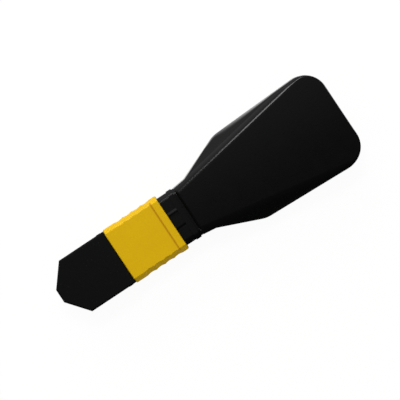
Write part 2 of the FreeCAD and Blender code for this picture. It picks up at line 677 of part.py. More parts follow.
def make_ribbon():
    """The flat ribbon that holds the fibres side by side, from the boot into the shell."""
    ribbon = Piece("fibre_ribbon")
    side = (FIBRES - 1) / 2 * s.fibre_pitch + s.ribbon_margin
    span = (TAIL_END - s.ribbon_free, FERRULE_REAR + s.boot_seat - s.face_gap)
    ribbon.block("form", span, both(side), both(s.ribbon_height / 2))
    for fibre in range(FIBRES):
        across = (fibre - (FIBRES - 1) / 2) * s.fibre_pitch
        ribbon.rod(f"fibre_{fibre}", s.fibre_coat, (span[0] - 1, across, 0), AXES["x"],
                   span[1] - span[0] + 2, cut=True)


def make_rear_body():
    """The neck: it closes the inner housing, seats the springs and is held by the shell."""
    rear = Piece("rear_body")
    side, top = s.neck_width / 2, s.neck_height / 2
    rear.block("neck", (NECK_END, -s.neck_start), both(side), both(top))
    rear.round("long_edges", s.neck_edge_radius, lambda box: runs_along(box, "x"))
    rail = [(s.rail_width / 2, 0), (s.rail_width / 2, top),
            (s.rail_top_width / 2, top + s.rail_height)]
    rail += [(-y, z) for y, z in reversed(rail)]
    rear.pad("rail", rear.sketch("rail_section", "YZ_Plane", rail, FLANGE_START),
             -s.neck_start - FLANGE_START)
    slot = [half - s.rail_slot_offset for half in both(s.rail_slot_width / 2)]
    rear.block("rail_slot", (FLANGE_START, 1 - s.neck_start), slot,
               (top + s.rail_height - s.rail_slot_depth, top + 1), cut=True)
    rear.rounded_block("flange", (NECK_END, FLANGE_START), both(s.flange_width / 2),
                       both(s.flange_height / 2), s.neck_edge_radius)
    rear.rounded_block("waist", (SHELL_FRONT + s.face_gap, NECK_END), both(s.waist_width / 2),
                       both(s.waist_height / 2), s.neck_edge_radius)
    rear.block("tail", (TAIL_END, NECK_END), both(s.tail_width / 2), both(s.tail_height / 2))
    rear.block("tail_rib", (RIB_REAR, RIB_FRONT), both(s.tail_rib_width / 2), both(s.tail_rib_height / 2))
    rear.block("passage", (TAIL_END - 1, 1 - s.neck_start), both(s.passage_width / 2),
               both(s.passage_height / 2), cut=True)
    rear.block("spring_seat", (SEAT_FACE, 1 - s.neck_start), both(CHAMBER_SIDE),
               both(s.chamber_height / 2), cut=True)
    leg_outside = LEG_INSIDE + s.leg_thickness
    leg_tip = s.leg_length - s.neck_start
    catch = -(s.window_front + s.window_length) + s.slide_gap
    for name, up in (("upper", 1), ("lower", -1)):
        low, high = sorted((up * LEG_INSIDE, up * leg_outside), key=lambda size: size.value)
        rear.block(f"{name}_leg", (-s.neck_start - s.spring_seat, leg_tip), both(s.leg_width / 2),
                   (low, high))
        barb = [(catch, up * LEG_INSIDE), (catch + s.barb_length, up * LEG_INSIDE),
                (catch + s.barb_length, up * leg_outside), (catch, up * (leg_outside + s.barb_height))]
        rear.pad(f"{name}_barb", rear.sketch(f"{name}_barb_side", "XZ_Plane", barb), s.leg_width,
                 symmetric=True)


def shell_line(first, last):
    """A width's half at a distance behind the shell's front, from two (distance, width) pairs."""
    (near_x, near_width), (far_x, far_width) = first, last
    slope = (far_width - near_width) / (far_x - near_x) / 2
    return lambda x: near_width / 2 + slope * (x - near_x)


def make_shell_half(label, up):
    """One half of the shell: up is 1 for the top half and -1 for the bottom half."""
    half = Piece(label)
    stations = [(Size.of(0), s.shell_front_width), (s.wing_start, s.wing_width),
                (s.wing_knee, s.knee_width), (s.shell_length, s.shell_rear_width)]
    outline = [(SHELL_FRONT - x, width / 2) for x, width in stations]
    outline += [(x, -y) for x, y in reversed(outline)]
    sketch = half.sketch("outline", "XY_Plane", outline)
    half.pad("form", sketch, SHELL_TOP, backwards=up < 0)
    corners = (("rear_corners", s.shell_corner_radius, s.shell_length),
               ("knees", s.knee_radius, s.wing_knee), ("wing_starts", s.wing_radius, s.wing_start))
    for name, radius, x in corners:
        half.round(name, radius,
                   lambda box, x=x: runs_along(box, "z") and lies_at(box, "x", SHELL_FRONT - x))
    cut_facets(half, up)
    top_edge = up * SHELL_TOP
    half.round("top_edges", s.shell_edge_radius,
               lambda box: lies_at(box, "z", top_edge) and box.XMin < SHELL_FRONT.value - TOLERANCE)
    half.bevel("seam", s.shell_seam, lambda box: lies_at(box, "z", 0))
    cut_cavity(half, up)
    add_snaps(half, up)


def plateau_half_width():
    return shell_line((Size.of(0), s.plateau_front_width), (s.shell_length, s.plateau_rear_width))


def facet_fall():
    """How far a facet falls for each millimetre outwards, from the flat top to the knee's rim."""
    flat = plateau_half_width()
    return (SHELL_TOP - s.wing_rim) / (s.knee_width / 2 - flat(s.wing_knee))


def cut_facets(half, up):
    """Slant both sides from the flat top down to the rim at the knees."""
    flat, fall = plateau_half_width(), facet_fall()
    reach = (SHELL_TOP + 1) / fall
    for left in (1, -1):
        ends = []
        for name, x in (("front", Size.of(-1)), ("rear", s.shell_length + 1)):
            start = flat(x)
            triangle = [(left * start, up * SHELL_TOP), (left * (start + reach), up * Size.of(-1)),
                        (left * (start + reach), up * (SHELL_TOP + 1)), (left * start, up * (SHELL_TOP + 1))]
            ends.append(half.sketch(f"facet_{name}", "YZ_Plane", triangle, SHELL_FRONT - x))
        half.cut_between("facet", *ends)


def cut_cavity(half, up):
    """Hollow the half out: the tail's seat, the cross wall and the fibre space."""
    flat, fall = plateau_half_width(), facet_fall()
    # the cavity's ceiling ends one wall inside the facet, measured square to it
    inset = s.shell_wall * ((1 + fall * fall).root() - 1) / fall
    rear_side = shell_line((s.wing_knee, s.knee_width), (s.shell_length, s.shell_rear_width))
    front = SHELL_FRONT - CAVITY_FRONT
    rear = s.shell_length - s.shell_side_wall
    # the space widens with the flat top until it meets the side wall
    gain = (s.plateau_rear_width - s.plateau_front_width) / s.shell_length / 2
    side_gain = (s.shell_rear_width - s.knee_width) / (s.shell_length - s.wing_knee) / 2
    short = (rear_side(Size.of(0)) - s.shell_side_wall) - (flat(Size.of(0)) - inset)
    meet = short / (gain - side_gain)
    space = [(front, flat(front) - inset), (meet, rear_side(meet) - s.shell_side_wall),
             (rear, rear_side(rear) - s.shell_side_wall)]
    space = [(SHELL_FRONT - x, y) for x, y in space]
    space += [(x, -y) for x, y in reversed(space)]
    cavity = Piece(f"{half.body.Label}_space", kept=False)
    cavity.pad("form", cavity.sketch("outline", "XY_Plane", space), CEILING, backwards=up < 0)
    cavity.round("corners", s.shell_corner_radius - s.shell_side_wall,
                 lambda box: runs_along(box, "z") and lies_at(box, "x", CAVITY_REAR))
    half.combine(cavity, cut=True)
    tail_side, tail_top = s.tail_width / 2 + s.slide_gap, s.tail_height / 2 + s.slide_gap
    half.block("tail_way", (CAVITY_FRONT - 1, SHELL_FRONT + 1), both(tail_side), both(tail_top), cut=True)
    half.block("rib_seat", (CROSS_FRONT, RIB_FRONT + s.slide_gap),
               both(s.tail_rib_width / 2 + s.slide_gap), both(s.tail_rib_height / 2 + s.slide_gap),
               cut=True)


def add_snaps(half, up):
    """Bosses that meet in the seam: the bottom half's carry pins, the top half's take them."""
    front = SHELL_FRONT - s.boss_front
    rear = SHELL_REAR + s.boss_rear
    places = [(LOOP_CENTRE, Size.of(0), s.hub_radius)]
    for left in (1, -1):
        places.append((front, left * s.boss_front_side, s.boss_radius))
        places.append((rear, left * s.boss_rear_side, s.boss_radius))
    height = SHELL_TOP - s.shell_wall / 2
    bottom = Size.of(0) if up > 0 else -height
    for x, y, radius in places:
        half.rod("boss", 2 * radius, (x, y, bottom), AXES["z"], height)
    for x, y, _ in places:
        if up > 0:
            half.rod("socket", 2 * (s.snap_radius + s.face_gap), (x, y, -1), AXES["z"],
                     1 + s.snap_length + s.slide_gap, cut=True)
        else:
            half.rod("pin", 2 * s.snap_radius, (x, y, -s.shell_wall), AXES["z"],
                     s.shell_wall + s.snap_length)


def move_to_frame():
    """Stand the plug on its underside, with the origin under its middle."""
    middle = (s.cap_length + SHELL_REAR) / 2
    for piece in pieces:
        bind(piece, "Placement.Base.x", -middle)
        bind(piece, "Placement.Base.z", SHELL_TOP)


def check_and_write():
    doc.recompute()
    failed = [thing.Label for thing in doc.Objects if {"Invalid", "Error"} & set(thing.State)]
    if failed:
        raise RuntimeError(f"these features failed: {failed}")
    os.makedirs("parts", exist_ok=True)
    for piece in pieces:
        shape = piece.Shape
        if shape.isNull() or not shape.isValid():
            raise RuntimeError(f"{piece.Label} has no sound shape")
        print(f"{piece.Label}: {len(shape.Solids)} solid, {shape.Volume:.2f} mm3")
        shape.exportStep(f"parts/{piece.Label}.step")


make_dust_cap()
make_outer_housing()
make_inner_housing()
make_ferrule()
make_epoxy_fill()
make_ferrule_boot()
make_pin_keeper()
make_ferrule_spring()
make_coupling_spring("coupling_spring_left", 1)
make_coupling_spring("coupling_spring_right", -1)
make_fibre_loops()
make_ribbon()
make_rear_body()
make_shell_half("shell_top", 1)
make_shell_half("shell_bottom", -1)
move_to_frame()
check_and_write()
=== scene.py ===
import math

import bmesh
import bpy
import numpy as np
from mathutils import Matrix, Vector


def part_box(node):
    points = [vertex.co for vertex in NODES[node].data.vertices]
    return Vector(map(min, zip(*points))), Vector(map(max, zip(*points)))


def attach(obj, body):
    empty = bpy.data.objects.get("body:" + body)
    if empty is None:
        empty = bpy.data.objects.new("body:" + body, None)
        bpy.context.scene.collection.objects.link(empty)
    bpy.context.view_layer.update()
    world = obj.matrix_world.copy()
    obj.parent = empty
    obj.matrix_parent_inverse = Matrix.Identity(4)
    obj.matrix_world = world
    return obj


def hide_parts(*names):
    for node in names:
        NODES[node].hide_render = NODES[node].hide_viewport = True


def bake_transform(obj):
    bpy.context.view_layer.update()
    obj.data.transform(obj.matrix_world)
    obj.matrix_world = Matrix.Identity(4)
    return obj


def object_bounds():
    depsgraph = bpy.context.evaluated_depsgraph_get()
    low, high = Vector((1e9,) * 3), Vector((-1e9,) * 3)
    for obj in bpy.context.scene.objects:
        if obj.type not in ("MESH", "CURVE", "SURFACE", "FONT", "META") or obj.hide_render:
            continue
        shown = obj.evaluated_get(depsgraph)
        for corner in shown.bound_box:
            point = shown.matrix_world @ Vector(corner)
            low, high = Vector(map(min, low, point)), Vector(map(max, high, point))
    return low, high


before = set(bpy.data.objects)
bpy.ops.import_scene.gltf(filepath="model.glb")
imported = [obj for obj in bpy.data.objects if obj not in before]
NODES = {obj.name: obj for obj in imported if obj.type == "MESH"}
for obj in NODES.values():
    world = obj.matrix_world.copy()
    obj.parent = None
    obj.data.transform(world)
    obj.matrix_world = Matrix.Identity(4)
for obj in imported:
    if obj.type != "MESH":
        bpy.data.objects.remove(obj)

# Finishes, shell, springs, stage and camera of a fibre loopback plug. Sizes are in metres.

bl_info = {
    "name": "Fibre loopback plug",
    "version": (1, 0, 0),
    "blender": (4, 5, 0),
    "location": "View3D > Sidebar > Loopback plug",
    "description": "Gives the pieces of a fibre loopback plug their finishes and sets the stage",
    "category": "Object",
}

MM = 0.001
CAD_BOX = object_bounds()

# the shell's mesh
RIM_STEP = 0.25 * MM  # between the outline's points
STATIONS = 210  # rows of points along the shell
COLUMNS = 121  # points across it
END_CROWDING = 0.14  # how much closer the rows stand near both ends
SIDE_CROWDING = 1.25  # how much closer the points stand near both sides
REAR_EDGE_SHARE = 0.3  # rounding of the rear wall's top edge, as a share of edge_radius
SHARP_ANGLE = math.radians(38.0)
WELD = 0.002 * MM
TINY = 1e-7  # metres

SCUFF_COLOUR = (0.2, 0.2, 0.19)

# where the sleeve's wide faces start, off its middle height, and the painted shade line before its
# rim
WIDE_FACES = (2.9 * MM, 3.3 * MM)
SHADE_LINE_OFFSET = 0.1 * MM
SHADE_LINE_FADE = (0.08 * MM, 0.3 * MM)
SHADE_LINE_SHARE = 0.55

# the stage, in metres
LAMP_DISTANCE = 0.45
KEY_SIZE = (0.9, 0.34)
STRIP_SIZE = (0.12, 0.08)
STRIP_ALONG = -0.052  # behind the plug's middle
CARD_SIDE = 0.3
FLOOR_HALF = 1.5
FLOOR_WHITE = 0.95  # share of plain white in the floor that the camera sees
FLOOR_GLOSS = 0.4  # share of plain white in the floor that gloss sees
FLAG_HALF = 0.06
FLAG_LIFT = 0.03 * MM
FLAG_HEIGHT = 20 * MM
ROOM_GLOW = 0.06  # brightness of the room that gloss reflects away from the pale wall
WALL_FADE = (0.2, 0.95)  # where the pale wall starts and is full, as a share of facing it
FAR_CLIP = 20.0


def distance(name, description, millimetres):
    """A length that a user can change."""
    return bpy.props.FloatProperty(name=name, description=description, unit="LENGTH",
                                   default=millimetres * MM, min=0.0, precision=5)


def lean(name, description, degrees):
    """A wall's angle from the vertical that a user can change."""
    return bpy.props.FloatProperty(name=name, description=description, unit="ROTATION",
                                   default=math.radians(degrees), min=0.01)


# ---------------------------------------------------------------- shader maths

class Value:
    """A number that changes over the surface. Arithmetic on it adds Math nodes."""

    def __init__(self, finish, socket):
        self.finish = finish
        self.socket = socket

    def maths(self, operation, *others):
        """Add a Math node that takes these values."""
        made = self.finish.node("ShaderNodeMath", {"operation": operation}, **{
            str(place): other for place, other in enumerate(others)})
        return Value(self.finish, made.outputs[0])

    def __add__(self, other):
        return self.maths("ADD", self, other)

    def __radd__(self, other):
        return self.maths("ADD", other, self)

    def __sub__(self, other):
        return self.maths("SUBTRACT", self, other)

    def __rsub__(self, other):
        return self.maths("SUBTRACT", other, self)

    def __mul__(self, other):
        return self.maths("MULTIPLY", self, other)

    def __rmul__(self, other):
        return self.maths("MULTIPLY", other, self)

    def __abs__(self):
        return self.maths("ABSOLUTE", self)

    def smooth(self, low, high):
        """0 below low, 1 above high, and a soft step between them."""
        made = self.finish.node("ShaderNodeMapRange", {"interpolation_type": "SMOOTHSTEP"},
                                Value=self, **{"From Min": low, "From Max": high})
        return Value(self.finish, made.outputs[0])


class Finish:
    """A material made of nodes."""

    def __init__(self, owner):
        owner.use_nodes = True
        self.owner = owner
        self.tree = owner.node_tree
        self.tree.nodes.clear()
        self.places = None

    def node(self, kind, settings, **inputs):
        """Add a node: first its settings, then the values or links of its sockets."""
        made = self.tree.nodes.new(kind)
        for name, value in settings.items():
            setattr(made, name, value)
        for name, value in inputs.items():
            socket = made.inputs[int(name)] if name.isdigit() else made.inputs[name]
            if isinstance(value, Value):
                value = value.socket
            if isinstance(value, bpy.types.NodeSocket):
                self.tree.links.new(value, socket)
            else:
                socket.default_value = value
        return made

    def place(self, kind="Object"):
        """The point on the piece in the plug's own frame, or the way a ray of the sky looks."""
        if self.places is None:
            self.places = self.node("ShaderNodeTexCoord", {}).outputs[kind]
        return self.places

    def axes(self):
        """The point's three distances along the plug's axes."""
        parts = self.node("ShaderNodeSeparateXYZ", {}, Vector=self.place())
        return [Value(self, parts.outputs[name]) for name in "XYZ"]

    def noise(self, size, detail=2.0, roughness=0.5, stretch=(1.0, 1.0, 1.0)):
        """Cloudy noise from 0 to 1 whose blobs are about size across."""
        place = self.place()
        if stretch != (1.0, 1.0, 1.0):
            place = self.node("ShaderNodeMapping", {}, Vector=place, Scale=stretch).outputs[0]
        made = self.node("ShaderNodeTexNoise", {}, Vector=place, Scale=1.0 / size, Detail=detail,
                         Roughness=roughness)
        return Value(self, made.outputs["Fac"])

    def mix(self, amount, first, second):
        """A colour between two colours."""
        made = self.node("ShaderNodeMix", {"data_type": "RGBA"}, **{"0": amount})
        for socket, colour in ((made.inputs[6], first), (made.inputs[7], second)):
            if isinstance(colour, bpy.types.NodeSocket):
                self.tree.links.new(colour, socket)
            else:
                socket.default_value = (*colour[:3], 1.0)
        return made.outputs[2]

    def bump(self, height, depth):
        """A relief as deep as depth where height runs from 0 to 1."""
        made = self.node("ShaderNodeBump", {}, Height=height, Distance=depth)
        return made.outputs[0]

    def surface(self, **inputs):
        """End in a Principled surface with these inputs."""
        named = {name.replace("_", " "): value for name, value in inputs.items()}
        made = self.node("ShaderNodeBsdfPrincipled", {}, **named)
        output = self.node("ShaderNodeOutputMaterial", {})
        self.tree.links.new(made.outputs[0], output.inputs["Surface"])
        return self.owner


def moulded(name, colour, tint, rough, grain, grain_depth, specular=0.5, wear=0.0):
    """Moulded plastic: faint clouding, a fine grain and patches where handling polished it."""
    finish = Finish(bpy.data.materials.new(name))
    cloud = finish.noise(4 * MM, detail=3.0)
    fine = finish.noise(grain, detail=1.5)
    patches = finish.noise(2.2 * MM, detail=4.0, roughness=0.6)
    base = finish.mix(cloud, colour, tint)
    if wear:
        scuffs = finish.noise(0.25 * MM, detail=2.0).smooth(0.68, 0.8)
        base = finish.mix(scuffs * wear, base, SCUFF_COLOUR)
    return finish.surface(Base_Color=base, Roughness=polished(rough, patches),
                          Normal=finish.bump(fine, grain_depth), Specular_IOR_Level=specular)


def polished(rough, patches):
    """Roughness that rises and falls by a fifth from patch to patch."""
    return rough * (0.8 + 0.4 * patches)


def darker(colour, share):
    """The same colour with this share of its brightness."""
    return tuple(share * part for part in colour)


def dress(node, material):
    """Give a CAD node its material."""
    thing = NODES[node]
    for slot in thing.material_slots:
        slot.material = material


# ---------------------------------------------------------------- the shell's form

class ShellForm:
    """The flared shell's outer form. x is the distance behind its front end, y is off the axis."""

    def __init__(self, sizes, length, height):
        self.sizes = sizes
        self.length = length
        self.top = height / 2
        gain = (sizes.flat_rear_width - sizes.flat_front_width) / 2 / length
        self.gain = gain
        at_knee = self.flat_half(sizes.knee_place)
        self.fall = (self.top - sizes.rim_height) / (sizes.knee_width / 2 - at_knee)
        self.turn = 1 / math.sqrt(1 + gain * gain)
        self.slope = math.atan(self.fall * self.turn)
        self.rim = self.rounded_outline()

    def flat_half(self, x):
        """Half the width of the flat top."""
        return self.sizes.flat_front_width / 2 + self.gain * x

    def rounded_outline(self):
        """One side's outline as close points, from the front end to the middle of the rear end."""
        z = self.sizes
        corners = [(0.0, z.front_width / 2, 0.0), (z.wing_place, z.wing_width / 2, z.wing_radius),
                   (z.knee_place, z.knee_width / 2, z.knee_radius),
                   (self.length, z.rear_width / 2, z.corner_radius), (self.length, 0.0, 0.0)]
        points = []
        for place, (x, y, radius) in enumerate(corners):
            corner = Vector((x, y))
            if radius == 0.0:
                points.append(corner)
                continue
            back = (Vector(corners[place - 1][:2]) - corner).normalized()
            ahead = (Vector(corners[place + 1][:2]) - corner).normalized()
            half = back.angle(ahead) / 2
            centre = corner + (back + ahead).normalized() * (radius / math.sin(half))
            first = corner + back * (radius / math.tan(half)) - centre
            last = corner + ahead * (radius / math.tan(half)) - centre
            sweep = first.angle_signed(last)
            steps = max(4, int(abs(sweep) * radius / RIM_STEP))
            for step in range(steps + 1):
                angle = -sweep * step / steps
                points.append(centre + Vector((
                    first.x * math.cos(angle) - first.y * math.sin(angle),
                    first.x * math.sin(angle) + first.y * math.cos(angle))))
        close = []
        for start, end in zip(points, points[1:]):
            steps = max(1, int((end - start).length / RIM_STEP))
            close += [start.lerp(end, step / steps) for step in range(steps)]
        return np.array([(point.x, point.y) for point in [*close, points[-1]]])

    def half_width(self, x):
        """Half the width between the side walls."""
        side = self.rim[self.rim[:, 0] < self.length - TINY]
        return np.interp(x, side[:, 0], side[:, 1])

    def crown(self, x, y):
        """Height of the flat top and the facets, with the ridge between them rounded."""
        radius = self.sizes.ridge_radius
        reach = radius * math.tan(self.slope / 2)
        off = (np.abs(y) - self.flat_half(x)) * self.turn
        rounded = self.top - radius + np.sqrt(np.maximum(0.0, radius ** 2 - (off + reach) ** 2))
        facet = self.top - off * math.tan(self.slope)
        return np.where(off < -reach, self.top,
                        np.where(off < reach * math.cos(self.slope), rounded, facet))

    def depth(self, x, y):
        """How far each point lies inside the outline."""
        places = np.stack([x.ravel(), np.abs(y).ravel()], axis=1)
        depth = np.empty(len(places))
        start, run = self.rim[:-1], np.diff(self.rim, axis=0)
        length = (run ** 2).sum(axis=1)
        for first in range(0, len(places), 1000):
            off = places[first:first + 1000, None] - start
            along = np.clip((off * run).sum(axis=2) / length, 0.0, 1.0)
            off -= along[..., None] * run
            depth[first:first + 1000] = np.sqrt((off ** 2).sum(axis=2)).min(axis=1)
        return depth.reshape(x.shape)

    def height(self, x, y):
        """Height of the outer form over the seam: its crown, its walls and a soft edge."""
        z = self.sizes
        depth = self.depth(x, y)
        # the top edge is rounded most before the rear corners
        edge = np.interp(x, (z.knee_place, self.length - z.corner_radius, self.length),
                         (0.0, z.edge_radius, REAR_EDGE_SHARE * z.edge_radius))
        bend = np.clip(1 - depth / np.maximum(edge, TINY), 0.0, 1.0)
        crown = self.crown(x, y) - edge * (1 - np.sqrt(1 - bend ** 2))
        turns = (z.knee_place - z.knee_radius / 2, z.knee_place + z.knee_radius / 4,
                 self.length - 2 * z.corner_radius)
        drafts = (z.end_draft, z.knee_draft, z.end_draft)
        wall = z.seam_bevel + depth / np.tan(np.interp(x, turns, drafts))
        soft = z.softness * crown
        blend = np.maximum(0.0, 1 - np.abs(wall - crown) / soft)
        height = np.minimum(wall, crown) - soft * blend ** 2 / 4
        front = z.front_edge - np.minimum(x, z.front_edge)
        return height - z.front_edge + np.sqrt(z.front_edge ** 2 - front ** 2)


def shell_half(name, form, front, seam, up):
    """One half of the shell as a closed hollow mesh: crown, wall, seam, and the space inside."""
    z = form.sizes
    spread = np.linspace(0.0, 1.0, STATIONS)
    x = form.length * (spread - END_CROWDING * np.sin(2 * math.pi * spread) / math.pi)
    x[-1] = form.length
    across = np.linspace(-1.0, 1.0, COLUMNS)
    across = np.sign(across) * (1 - (1 - np.abs(across)) ** SIDE_CROWDING)
    half = form.half_width(x)
    half[-1] = form.rim[form.rim[:, 0] > form.length - TINY][0][1]
    grid_x = np.repeat(x[:, None], COLUMNS, axis=1)
    grid_y = half[:, None] * across[None]
    grid_z = form.height(grid_x, grid_y)

    # the space inside follows the flat top until it meets the side wall
    low, high = z.front_wall, form.length - z.side_wall
    inner_x = np.clip(grid_x, low, high)
    slant = z.wall * (math.sqrt(1 + form.fall ** 2) - 1) / form.fall
    inner_half = np.minimum(form.flat_half(inner_x) - slant, form.half_width(inner_x) - z.side_wall)
    inner_y = inner_half * across[None]

    loop = [(i, 0) for i in range(STATIONS)]
    loop += [(STATIONS - 1, j) for j in range(1, COLUMNS)]
    loop += [(i, COLUMNS - 1) for i in range(STATIONS - 2, -1, -1)]
    loop += [(0, j) for j in range(COLUMNS - 2, 0, -1)]
    spots = [(grid_x[i, j], grid_y[i, j], grid_z[i, j]) for i in range(STATIONS)
             for j in range(COLUMNS)]
    corners = [i * COLUMNS + j for i in range(STATIONS - 1) for j in range(COLUMNS - 1)]
    faces = [(k, k + 1, k + COLUMNS + 1, k + COLUMNS) for k in corners]

    def ring(points):
        """Add these points and return their numbers."""
        start = len(spots)
        spots.extend(points)
        return list(range(start, start + len(points)))

    def strip(first, second):
        """Add the faces between two rings."""
        for k in range(len(first)):
            after = (k + 1) % len(first)
            faces.append((first[k], first[after], second[after], second[k]))

    middle = form.length / 2
    shrink = 1 - z.seam_bevel / middle
    outer = [i * COLUMNS + j for i, j in loop]
    seam_edge = ring([(middle + (grid_x[i, j] - middle) * shrink,
                       grid_y[i, j] * (1 - z.seam_bevel / half[i]), 0.0) for i, j in loop])
    mouth = ring([(inner_x[i, j], inner_y[i, j], 0.0) for i, j in loop])
    ceiling = ring([(inner_x[i, j], inner_y[i, j], form.top - z.wall) for i, j in loop])
    for first, second in zip((outer, seam_edge, mouth), (seam_edge, mouth, ceiling)):
        strip(first, second)
    faces.append(tuple(ceiling))
    if up < 0:
        faces = [tuple(reversed(face)) for face in faces]
    mesh = bpy.data.meshes.new(name)
    mesh.from_pydata([(front - a, b, seam + up * c) for a, b, c in spots], [], faces)
    # corners of the space inside share their points
    joined = bmesh.new()
    joined.from_mesh(mesh)
    bmesh.ops.remove_doubles(joined, verts=joined.verts, dist=WELD)
    joined.to_mesh(mesh)
    joined.free()
    mesh.validate()
    mesh.update()
    mesh.shade_smooth()
    mesh.set_sharp_from_angle(angle=SHARP_ANGLE)
    return bpy.data.objects.new(name, mesh)


# ---------------------------------------------------------------- what a user can change

class PlugShell(bpy.types.PropertyGroup):
    front_width: distance("Front width", "Width of the shell's front end", 11.07)
    wing_place: distance("Wing start", "Where the wings start behind the front end", 2.8)
    wing_width: distance("Wing start width", "Width where the wings start", 11.75)
    knee_place: distance("Knee", "Where the wings turn behind the front end", 12.3)
    knee_width: distance("Knee width", "Width where the wings turn", 19.6)
    rear_width: distance("Rear width", "Width of the rear end with its corners left square", 21.49)
    corner_radius: distance("Corner radius", "Rounding of the rear corners in plan", 4.9)
    knee_radius: distance("Knee radius", "Rounding of the knees in plan", 5.6)
    wing_radius: distance("Wing radius", "Hollow rounding where the wings start", 2.0)
    flat_front_width: distance("Flat front", "Width of the flat top at the front end", 9.4)
    flat_rear_width: distance("Flat rear", "Width the flat top runs to at the rear end", 22.3)
    rim_height: distance("Rim height", "Half height of the wings' edge at the knees", 0.8)
    ridge_radius: distance("Ridge radius", "Rounding between the flat top and the facets", 2.05)
    edge_radius: distance("Edge radius", "Rounding of the top edge before the rear corners", 1.0)
    front_edge: distance("Front edge", "Rounding of the front end's edge", 0.5)
    end_draft: lean("End draft", "Lean of the walls at the front and of the rear wall", 3.0)
    knee_draft: lean("Knee draft", "Lean of the side walls at the knees", 15.0)
    softness: bpy.props.FloatProperty(
        name="Edge softness", description="Rounding of the rim as a share of its height",
        default=0.6, min=0.01, max=1.0)
    seam_bevel: distance("Seam bevel", "Bevel along the seam of the halves", 0.1)
    wall: distance("Wall", "Wall over the space inside", 1.2)
    side_wall: distance("Side wall", "Side and rear wall of the space inside", 1.3)
    front_wall: distance("Front wall", "From the front end to the space inside", 4.05)


class PlugFinishes(bpy.types.PropertyGroup):
    sleeve_colour: bpy.props.FloatVectorProperty(
        name="Sleeve colour", description="Colour of the sliding sleeve", subtype="COLOR",
        default=(0.49, 0.302, 0.0008), min=0.0, max=1.0)
    sleeve_tint: bpy.props.FloatVectorProperty(
        name="Sleeve clouding", description="Colour the sleeve's plastic clouds towards",
        subtype="COLOR", default=(0.451, 0.272, 0.0008), min=0.0, max=1.0)
    # painted shade: colour of the shade line before the sleeve's raised rim
    grime_colour: bpy.props.FloatVectorProperty(
        name="Painted shade colour", description="Colour of the corner before the sleeve's raised rim",
        subtype="COLOR", default=(0.30, 0.11, 0.0005), min=0.0, max=1.0)
    rim_length: distance("Rim length", "Length of the sleeve's raised rear rim", 1.5)
    cap_colour: bpy.props.FloatVectorProperty(
        name="Cap colour", description="Colour of the dust cap", subtype="COLOR",
        default=(0.002, 0.002, 0.002), min=0.0, max=1.0)
    shell_colour: bpy.props.FloatVectorProperty(
        name="Shell colour", description="Colour of the shell", subtype="COLOR",
        default=(0.0022, 0.0022, 0.0022), min=0.0, max=1.0)
    cap_roughness: bpy.props.FloatProperty(
        name="Cap roughness", description="Roughness of the dust cap", default=0.5, min=0.0,
        max=1.0)
    sleeve_roughness: bpy.props.FloatProperty(
        name="Sleeve roughness", description="Roughness of the sleeve", default=0.42, min=0.0,
        max=1.0)
    shell_roughness: bpy.props.FloatProperty(
        name="Shell roughness", description="Roughness of the shell", default=0.16, min=0.0,
        max=1.0)


class PlugStage(bpy.types.PropertyGroup):
    lens: bpy.props.FloatProperty(
        name="Lens", description="Focal length of the camera in millimetres", default=150.0,
        min=20.0)
    view_width: bpy.props.FloatProperty(
        name="View width", description="Width that the camera takes in at the plug's middle height",
        default=79.6 * MM, unit="LENGTH", min=0.01)
    roll: bpy.props.FloatProperty(
        name="Roll", description="Turn of the camera about the vertical",
        default=math.radians(146.4), unit="ROTATION")
    aim: bpy.props.FloatVectorProperty(
        name="Aim", description="Point over which the camera stands", size=2,
        default=(-0.13 * MM, -0.55 * MM), subtype="XYZ", unit="LENGTH")
    key_strength: bpy.props.FloatProperty(
        name="Key lamp", description="Power of the large lamp", default=3.1, unit="POWER", min=0.0)
    key_height: bpy.props.FloatProperty(
        name="Key height", description="Angle of the large lamp above the floor",
        default=math.radians(18.0), unit="ROTATION")
    strip_strength: bpy.props.FloatProperty(
        name="Strip lamp", description="Power of the small lamp that draws a line along the ridge",
        default=0.85, unit="POWER", min=0.0)
    strip_height: bpy.props.FloatProperty(
        name="Strip height", description="Angle of the small lamp above the floor",
        default=math.radians(66.0), unit="ROTATION")
    sky_strength: bpy.props.FloatProperty(
        name="Sky strength", description="Light from all round", default=0.58, min=0.0)
    side_glow: bpy.props.FloatProperty(
        name="Side glow", description="Brightness of the pale wall that gloss reflects",
        default=2.6, min=0.0)
    card_strength: bpy.props.FloatProperty(
        name="Card", description="Power of the dim card overhead that gives gloss its sheen",
        default=0.226, unit="POWER", min=0.0)
    # where the board of painted shade lies and stands, which only gloss shows
    flag_start: bpy.props.FloatProperty(
        name="Flag start", description="How far from the axis the dark board starts on the floor",
        default=5.0 * MM, unit="LENGTH")
    flag_place: bpy.props.FloatProperty(
        name="Flag", description="Where the low dark board stands beside the plug's left-hand side",
        default=30.0 * MM, unit="LENGTH")
    card_edge: bpy.props.FloatProperty(
        name="Card edge", description="How far over the plug's left-hand side the card reaches",
        default=-6.0 * MM, unit="LENGTH")


# ---------------------------------------------------------------- the pieces

class LOOPBACK_OT_dust_cap(bpy.types.Operator):
    """Finish the dust cap"""

    bl_idname = "loopback.dust_cap"
    bl_label = "Dust cap"

    def execute(self, context):
        look = context.scene.plug_finishes
        dress("dust_cap", moulded(
            "cap_plastic", look.cap_colour, darker(look.cap_colour, 0.75),
            rough=look.cap_roughness, grain=0.16 * MM, grain_depth=0.006 * MM, specular=0.05,
            wear=0.12))
        return {"FINISHED"}


